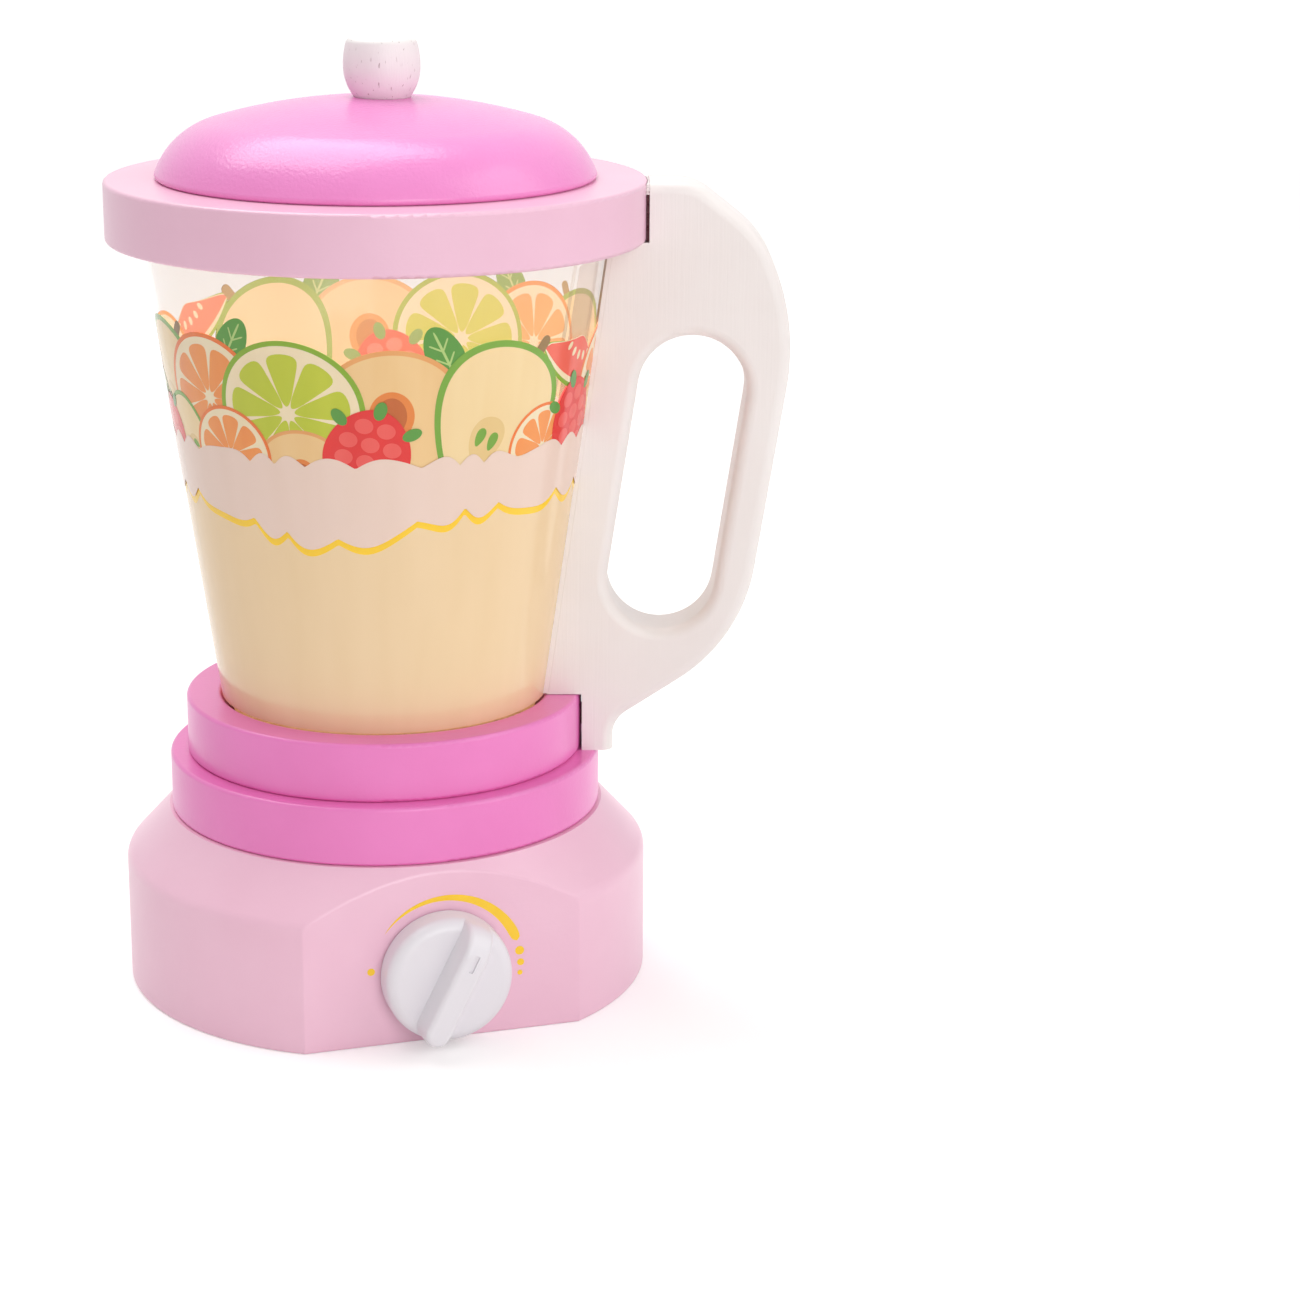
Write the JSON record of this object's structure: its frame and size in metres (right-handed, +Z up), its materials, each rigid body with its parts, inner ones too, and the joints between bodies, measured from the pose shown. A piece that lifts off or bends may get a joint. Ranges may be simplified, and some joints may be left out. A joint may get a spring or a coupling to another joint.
{
  "type": "toy blender",
  "caption": "Painted wooden toy blender with a clicking dial, a clear printed jug with a board handle that turns and lifts off, and a lift-off domed lid.",
  "frame": {"origin": "on the jug's axis, in the plane of the underside", "axes": "+Z up along the jug's axis; -Y out of the flat that carries the dial; +X to the right of someone who faces the dial"},
  "size_m": [0.1742, 0.1463, 0.2504],
  "materials": {
    "light_pink_paint": "brushed paint, soft gloss",
    "hot_pink_paint": "brushed paint, soft gloss",
    "white_paint": "brushed paint, satin",
    "raw_wood": "sanded",
    "clear_plastic": "clear gloss",
    "dial_plastic": "moulded gloss",
    "inner_plastic": "moulded",
    "steel": "bright plated"
  },
  "bodies": {
    "base": {"base_block": "light_pink_paint", "base_disc": "hot_pink_paint", "base_dowels": "raw_wood", "bottom_cover": "raw_wood", "cover_screws": "steel", "dial_bush": "inner_plastic", "click_spring": "steel", "spring_screw": "steel"},
    "seat_peg": {"centre_peg": "raw_wood"},
    "dial": {"dial_knob": "dial_plastic", "dial_shaft": "steel", "thrust_washer": "inner_plastic", "click_wheel": "inner_plastic", "dial_screw": "steel"},
    "jug": {"jug_floor": "raw_wood", "jug_cup": "clear_plastic", "jug_ring": "hot_pink_paint", "jug_collar": "light_pink_paint", "jug_handle": "white_paint", "handle_dowels": "raw_wood"},
    "lid": {"lid_dome": "hot_pink_paint", "lid_plug": "raw_wood", "lid_knob": "white_paint", "lid_screw": "steel"}
  },
  "joints": [
    {"name": "jug_turn", "type": "hinge", "parent": "base", "child": "seat_peg", "pos_m": [0, 0, 0.0627], "axis": [0, 0, 1], "continuous": true},
    {"name": "jug_lift", "type": "slide", "parent": "seat_peg", "child": "jug", "axis": [0, 0, 1], "range_m": [0, 0.06]},
    {"name": "lid_lift", "type": "slide", "parent": "jug", "child": "lid", "axis": [0, 0, 1], "range_m": [0, 0.05]},
    {"name": "dial_turn", "type": "hinge", "parent": "base", "child": "dial", "pos_m": [0, -0.0597, 0.0188], "axis": [0, -1, 0], "continuous": true}
  ]
}
